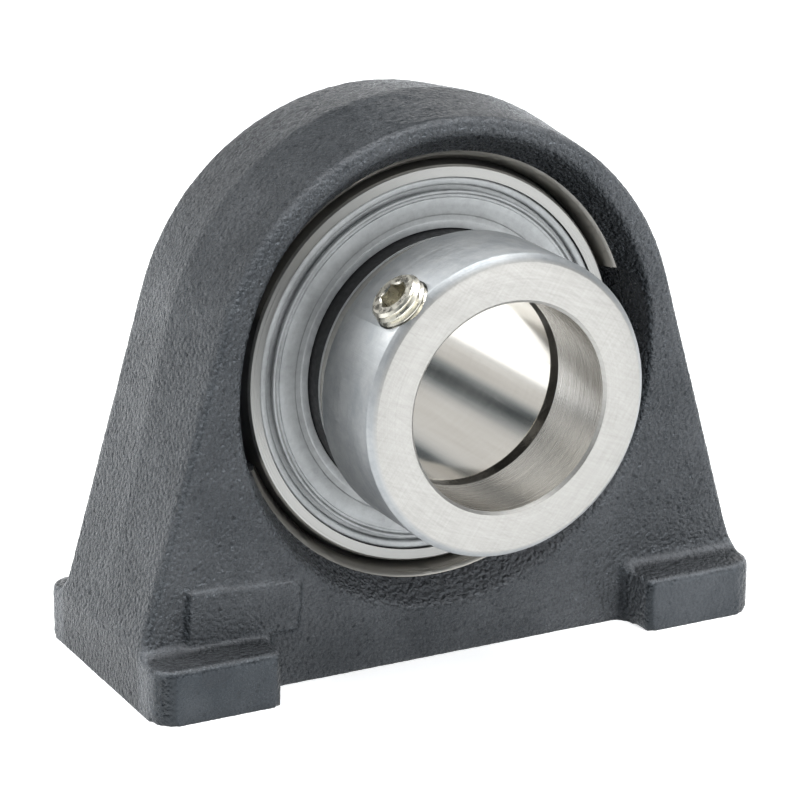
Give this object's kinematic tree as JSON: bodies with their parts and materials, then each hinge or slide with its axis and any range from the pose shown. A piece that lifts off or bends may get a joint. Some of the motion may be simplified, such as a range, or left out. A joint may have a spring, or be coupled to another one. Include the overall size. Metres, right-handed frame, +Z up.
{
  "type": "pillow block bearing",
  "caption": "Short-base cast pillow block with a self-aligning ball bearing insert, sealed on both sides, and an eccentric locking collar for a shaft.",
  "frame": {"origin": "on the flat base face, under the middle of the bearing and midway between the two fixing holes", "axes": "+Z up from the base to the shaft, Y along the shaft with the locking collar at the -Y end, X along the base from fixing hole to fixing hole"},
  "size_m": [0.099, 0.0523, 0.0821],
  "materials": {
    "cast_housing": "painted, rough as cast",
    "ring_steel": "ground",
    "ball_steel": "polished",
    "cage_steel": "pressed sheet",
    "zinc_sheet": "zinc plated",
    "seal_rubber": "matte",
    "collar_steel": "ground",
    "screw_steel": "zinc plated"
  },
  "bodies": {
    "housing": {"housing": "cast_housing"},
    "outer_race": {"outer_ring": "ring_steel", "inner_washer_front": "zinc_sheet", "inner_washer_rear": "zinc_sheet", "seal_lip_front": "seal_rubber", "seal_lip_rear": "seal_rubber", "outer_washer_front": "zinc_sheet", "outer_washer_rear": "zinc_sheet"},
    "inner_race": {"inner_ring": "ring_steel", "flinger_front": "zinc_sheet", "flinger_rear": "zinc_sheet"},
    "cage": {"cage_front": "cage_steel", "cage_rear": "cage_steel", "cage_rivets": "cage_steel"},
    "collar": {"locking_collar": "collar_steel"},
    "screw": {"grub_screw": "screw_steel"},
    "ball_1": {"ball_1": "ball_steel"},
    "ball_2": {"ball_2": "ball_steel"},
    "ball_3": {"ball_3": "ball_steel"},
    "ball_4": {"ball_4": "ball_steel"},
    "ball_5": {"ball_5": "ball_steel"},
    "ball_6": {"ball_6": "ball_steel"},
    "ball_7": {"ball_7": "ball_steel"},
    "ball_8": {"ball_8": "ball_steel"},
    "ball_9": {"ball_9": "ball_steel"}
  },
  "joints": [
    {"name": "insert_tilt", "type": "hinge", "parent": "housing", "child": "outer_race", "pos_m": [0, 0, 0.0429], "axis": [1, 0, 0], "range_deg": [-5, 5]},
    {"name": "shaft_spin", "type": "hinge", "parent": "outer_race", "child": "inner_race", "pos_m": [0, 0, 0.0429], "axis": [0, 1, 0], "continuous": true},
    {"name": "cage_orbit", "type": "hinge", "parent": "outer_race", "child": "cage", "pos_m": [0, 0, 0.0429], "axis": [0, 1, 0], "continuous": true},
    {"name": "ball_1_spin", "type": "hinge", "parent": "cage", "child": "ball_1", "pos_m": [0.023, 0, 0.0429], "axis": [0, 1, 0], "continuous": true},
    {"name": "ball_2_spin", "type": "hinge", "parent": "cage", "child": "ball_2", "pos_m": [0.01762, 0, 0.05768], "axis": [0, 1, 0], "continuous": true},
    {"name": "ball_3_spin", "type": "hinge", "parent": "cage", "child": "ball_3", "pos_m": [0.00399, 0, 0.06555], "axis": [0, 1, 0], "continuous": true},
    {"name": "ball_4_spin", "type": "hinge", "parent": "cage", "child": "ball_4", "pos_m": [-0.0115, 0, 0.06282], "axis": [0, 1, 0], "continuous": true},
    {"name": "ball_5_spin", "type": "hinge", "parent": "cage", "child": "ball_5", "pos_m": [-0.02161, 0, 0.05077], "axis": [0, 1, 0], "continuous": true},
    {"name": "ball_6_spin", "type": "hinge", "parent": "cage", "child": "ball_6", "pos_m": [-0.02161, 0, 0.03503], "axis": [0, 1, 0], "continuous": true},
    {"name": "ball_7_spin", "type": "hinge", "parent": "cage", "child": "ball_7", "pos_m": [-0.0115, 0, 0.02298], "axis": [0, 1, 0], "continuous": true},
    {"name": "ball_8_spin", "type": "hinge", "parent": "cage", "child": "ball_8", "pos_m": [0.00399, 0, 0.02025], "axis": [0, 1, 0], "continuous": true},
    {"name": "ball_9_spin", "type": "hinge", "parent": "cage", "child": "ball_9", "pos_m": [0.01762, 0, 0.02812], "axis": [0, 1, 0], "continuous": true},
    {"name": "collar_lock", "type": "hinge", "parent": "inner_race", "child": "collar", "pos_m": [0, 0, 0.0429], "axis": [0, 1, 0], "range_deg": [-18, 18]},
    {"name": "screw_travel", "type": "slide", "parent": "collar", "child": "screw", "axis": [0.682, 0, -0.7314], "range_m": [-0.002, 0.0009]}
  ],
  "couplings": [
    {"joint": "cage_orbit", "follows": "shaft_spin", "ratio": 0.39647},
    {"joint": "ball_1_spin", "follows": "shaft_spin", "ratio": -2.3112},
    {"joint": "ball_2_spin", "follows": "shaft_spin", "ratio": -2.3112},
    {"joint": "ball_3_spin", "follows": "shaft_spin", "ratio": -2.3112},
    {"joint": "ball_4_spin", "follows": "shaft_spin", "ratio": -2.3112},
    {"joint": "ball_5_spin", "follows": "shaft_spin", "ratio": -2.3112},
    {"joint": "ball_6_spin", "follows": "shaft_spin", "ratio": -2.3112},
    {"joint": "ball_7_spin", "follows": "shaft_spin", "ratio": -2.3112},
    {"joint": "ball_8_spin", "follows": "shaft_spin", "ratio": -2.3112},
    {"joint": "ball_9_spin", "follows": "shaft_spin", "ratio": -2.3112}
  ]
}
